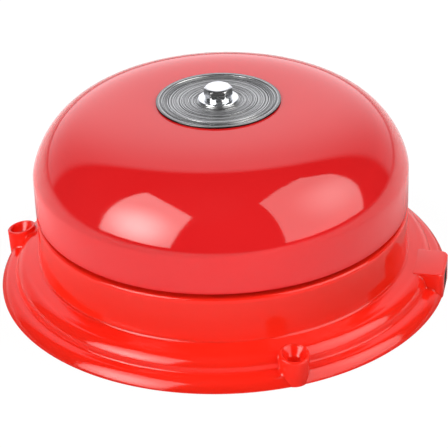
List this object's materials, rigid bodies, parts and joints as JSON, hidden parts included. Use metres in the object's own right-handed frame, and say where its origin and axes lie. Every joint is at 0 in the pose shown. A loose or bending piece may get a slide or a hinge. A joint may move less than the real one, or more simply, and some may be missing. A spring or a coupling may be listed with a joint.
{
  "type": "fire alarm bell",
  "caption": "Wall-mounted fire alarm bell: a glossy red domed gong over a stepped round base with fixing lugs, struck from inside by a sprung solenoid plunger.",
  "frame": {"origin": "centre of the wall face, on the gong's axis", "axes": "+Z away from the wall along the gong's axis, +X towards the cable outlet"},
  "size_m": [0.1836, 0.1824, 0.083],
  "materials": {
    "red_gong_paint": "high gloss red stove enamel on steel",
    "red_housing": "glossy orange-red moulded plastic",
    "turned_aluminium": "turned with fine concentric grooves",
    "bright_zinc": "bright zinc plate",
    "zinc_sheet": "zinc-plated pressed steel",
    "steel": "turned and ground steel",
    "brass": "drawn brass, lightly tarnished",
    "bronze_leaf": "phosphor bronze strip",
    "enamelled_copper": "enamelled copper wire",
    "coil_tape": "yellow polyester tape",
    "black_plastic": "satin black moulding",
    "phenolic": "brown phenolic",
    "nylon": "natural nylon",
    "rubber": "matte black rubber",
    "fibre": "red vulcanised fibre",
    "wire_blue": "blue wire insulation",
    "wire_brown": "brown wire insulation"
  },
  "bodies": {
    "base": {"base_housing": "red_housing", "cable_grommet": "rubber", "gong": "red_gong_paint", "gong_disc": "turned_aluminium", "gong_washer": "bright_zinc", "gong_lock_washer": "bright_zinc", "gong_bolt": "bright_zinc", "gong_cushion_washer": "fibre", "gong_post": "steel", "post_washer": "bright_zinc", "post_nut": "bright_zinc", "mechanism_plate": "zinc_sheet", "plate_screw_1": "bright_zinc", "plate_screw_2": "bright_zinc", "plate_screw_3": "bright_zinc", "plate_screw_4": "bright_zinc", "rod_guide_bush": "brass", "yoke_frame": "zinc_sheet", "yoke_bar": "zinc_sheet", "yoke_screw_1": "bright_zinc", "yoke_screw_2": "bright_zinc", "coil_bobbin": "black_plastic", "coil_winding": "enamelled_copper", "coil_wrap": "coil_tape", "guide_tube": "brass", "pole_piece": "steel", "return_spring": "steel", "contact_block": "phenolic", "contact_block_screw": "bright_zinc", "leaf_carrier": "brass", "leaf_carrier_screw": "brass", "contact_lock_nut": "brass", "terminal_block": "black_plastic", "terminal_clamp_1": "brass", "terminal_clamp_2": "brass", "terminal_screw_1": "bright_zinc", "terminal_screw_2": "bright_zinc", "terminal_block_screw": "bright_zinc", "suppressor": "black_plastic", "coil_lead_1": "wire_blue", "coil_lead_2": "wire_brown", "contact_lead": "wire_blue"},
    "striker": {"plunger": "steel", "push_rod": "steel", "striker_tip": "nylon", "spring_collar": "bright_zinc", "plunger_clip": "steel", "actuator_arm": "nylon"},
    "contact_leaf": {"contact_leaf": "bronze_leaf", "leaf_contact": "bright_zinc"},
    "contact_screw": {"contact_screw": "brass"}
  },
  "joints": [
    {"name": "striker_slide", "type": "slide", "parent": "base", "child": "striker", "axis": [-1, 0, 0], "range_m": [0, 0.005], "stiffness_N_per_m": 60, "springref_m": -0.002, "deforming": ["return_spring"]},
    {"name": "contact_leaf_flex", "type": "hinge", "parent": "base", "child": "contact_leaf", "pos_m": [0.019, 0.028, 0.0375], "axis": [0, 0, -1], "range_deg": [-0.5, 19]},
    {"name": "contact_screw_turn", "type": "hinge", "parent": "base", "child": "contact_screw", "pos_m": [0.03, 0.019, 0.0375], "axis": [1, 0, 0], "range_deg": [-180, 180]}
  ],
  "couplings": [
    {"joint": "contact_leaf_flex", "follows": "striker_slide", "rad_per_m": 64}
  ]
}
